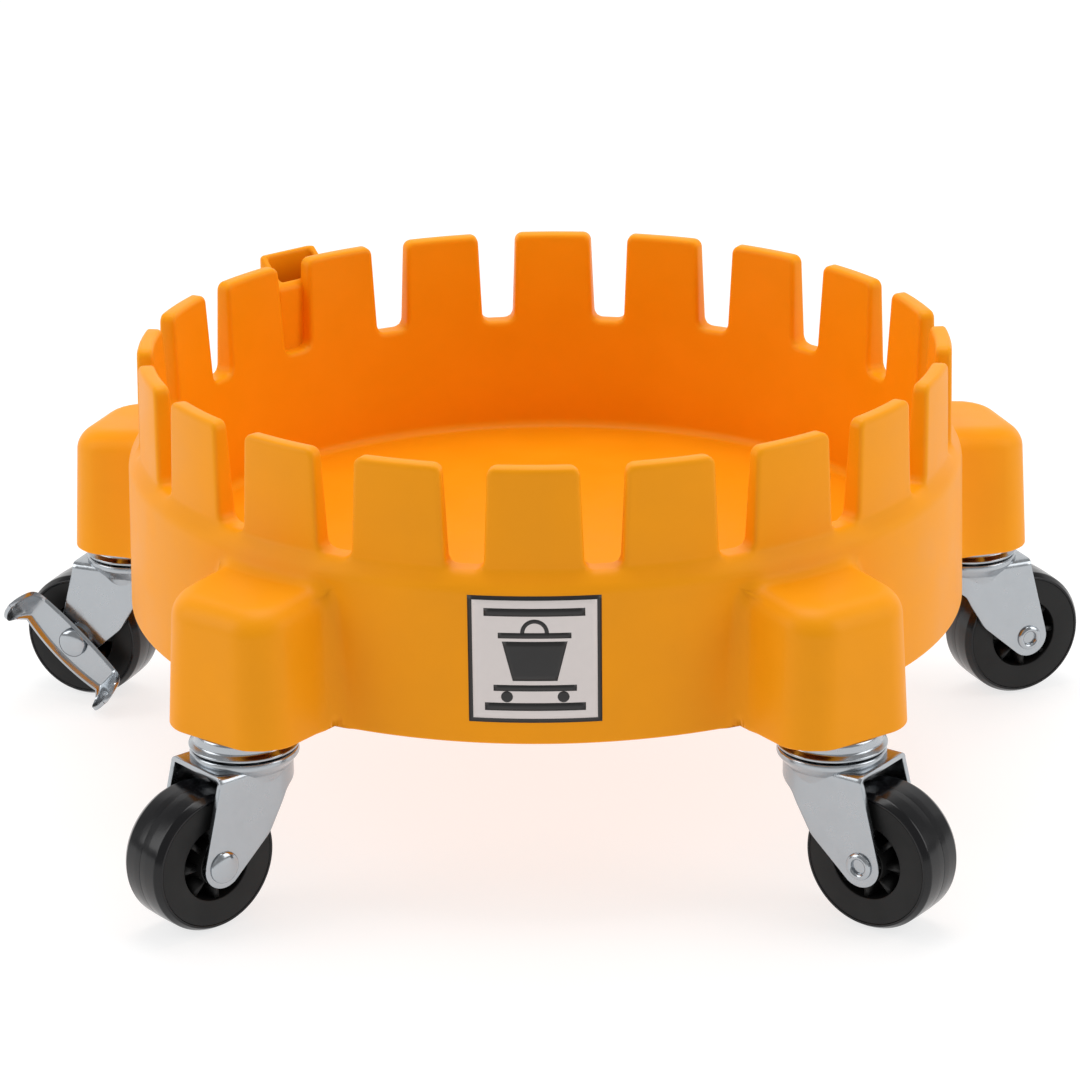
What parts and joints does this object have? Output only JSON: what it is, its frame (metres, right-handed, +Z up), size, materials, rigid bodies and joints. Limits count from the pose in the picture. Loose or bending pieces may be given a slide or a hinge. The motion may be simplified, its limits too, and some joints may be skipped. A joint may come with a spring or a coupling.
{
  "type": "bucket dolly",
  "caption": "Round open dolly with a castellated rim that holds a bucket or small drum, on swivel casters, one with a foot brake lever.",
  "frame": {"origin": "centre of the deck's upper face, where the bucket stands, on the ring's axis", "axes": "+Z up along the ring's axis; -Y is the front, with the label; +X is to the right seen from the front"},
  "size_m": [0.4229, 0.3935, 0.163],
  "materials": {
    "moulding": "injection-moulded, satin with fine grain",
    "label": "printed film, satin",
    "brass_insert": "turned",
    "zinc_sheet": "pressed sheet, bright zinc plated",
    "zinc_turned": "turned, bright zinc plated",
    "steel_ball": "ground and polished, greased",
    "core": "moulded, matte",
    "tread": "moulded, glossy with a parting line"
  },
  "bodies": {
    "ring": {"tub": "moulding", "label": "label", "stem_inserts": "brass_insert", "front_left_stem": "zinc_turned", "front_left_dish": "zinc_sheet", "front_left_upper_balls": "steel_ball", "front_left_lower_balls": "steel_ball", "front_left_cup": "zinc_sheet", "front_right_stem": "zinc_turned", "front_right_dish": "zinc_sheet", "front_right_upper_balls": "steel_ball", "front_right_lower_balls": "steel_ball", "front_right_cup": "zinc_sheet", "side_right_stem": "zinc_turned", "side_right_dish": "zinc_sheet", "side_right_upper_balls": "steel_ball", "side_right_lower_balls": "steel_ball", "side_right_cup": "zinc_sheet", "rear_stem": "zinc_turned", "rear_dish": "zinc_sheet", "rear_upper_balls": "steel_ball", "rear_lower_balls": "steel_ball", "rear_cup": "zinc_sheet", "side_left_stem": "zinc_turned", "side_left_dish": "zinc_sheet", "side_left_upper_balls": "steel_ball", "side_left_lower_balls": "steel_ball", "side_left_cup": "zinc_sheet"},
    "front_left_swivel": {"front_left_fork": "zinc_sheet", "front_left_axle": "zinc_turned", "front_left_sleeve": "zinc_turned"},
    "front_left_wheel": {"front_left_wheel_core": "core", "front_left_tread": "tread"},
    "front_right_swivel": {"front_right_fork": "zinc_sheet", "front_right_axle": "zinc_turned", "front_right_sleeve": "zinc_turned"},
    "front_right_wheel": {"front_right_wheel_core": "core", "front_right_tread": "tread"},
    "side_right_swivel": {"side_right_fork": "zinc_sheet", "side_right_axle": "zinc_turned", "side_right_sleeve": "zinc_turned"},
    "side_right_wheel": {"side_right_wheel_core": "core", "side_right_tread": "tread"},
    "rear_swivel": {"rear_fork": "zinc_sheet", "rear_axle": "zinc_turned", "rear_sleeve": "zinc_turned"},
    "rear_wheel": {"rear_wheel_core": "core", "rear_tread": "tread"},
    "side_left_swivel": {"side_left_fork": "zinc_sheet", "side_left_axle": "zinc_turned", "side_left_sleeve": "zinc_turned", "brake_cam": "zinc_sheet"},
    "side_left_wheel": {"side_left_wheel_core": "core", "side_left_tread": "tread"},
    "brake": {"brake_lever": "zinc_sheet"}
  },
  "joints": [
    {"name": "front_left_turn", "type": "hinge", "parent": "ring", "child": "front_left_swivel", "pos_m": [-0.10053, -0.13837, -0.02], "axis": [0, 0, 1], "continuous": true},
    {"name": "front_left_roll", "type": "hinge", "parent": "front_left_swivel", "child": "front_left_wheel", "pos_m": [-0.11592, -0.15237, -0.057], "axis": [0.673, -0.7396, 0], "continuous": true},
    {"name": "front_right_turn", "type": "hinge", "parent": "ring", "child": "front_right_swivel", "pos_m": [0.10053, -0.13837, -0.02], "axis": [0, 0, 1], "continuous": true},
    {"name": "front_right_roll", "type": "hinge", "parent": "front_right_swivel", "child": "front_right_wheel", "pos_m": [0.11747, -0.15045, -0.057], "axis": [0.5807, 0.8141, 0], "continuous": true},
    {"name": "side_right_turn", "type": "hinge", "parent": "ring", "child": "side_right_swivel", "pos_m": [0.16267, 0.05285, -0.02], "axis": [0, 0, 1], "continuous": true},
    {"name": "side_right_roll", "type": "hinge", "parent": "side_right_swivel", "child": "side_right_wheel", "pos_m": [0.18174, 0.06115, -0.057], "axis": [-0.3987, 0.9171, 0], "continuous": true},
    {"name": "rear_turn", "type": "hinge", "parent": "ring", "child": "rear_swivel", "pos_m": [0, 0.17104, -0.02], "axis": [0, 0, 1], "continuous": true},
    {"name": "rear_roll", "type": "hinge", "parent": "rear_swivel", "child": "rear_wheel", "pos_m": [0.0029, 0.19164, -0.057], "axis": [-0.9903, 0.1392, 0], "continuous": true},
    {"name": "side_left_turn", "type": "hinge", "parent": "ring", "child": "side_left_swivel", "pos_m": [-0.16267, 0.05285, -0.02], "axis": [0, 0, 1], "continuous": true},
    {"name": "side_left_roll", "type": "hinge", "parent": "side_left_swivel", "child": "side_left_wheel", "pos_m": [-0.18221, 0.05997, -0.057], "axis": [-0.342, -0.9397, 0], "continuous": true},
    {"name": "brake_press", "type": "hinge", "parent": "side_left_swivel", "child": "brake", "pos_m": [-0.18221, 0.05997, -0.057], "axis": [-0.342, -0.9397, 0], "range_deg": [0, 50]}
  ]
}
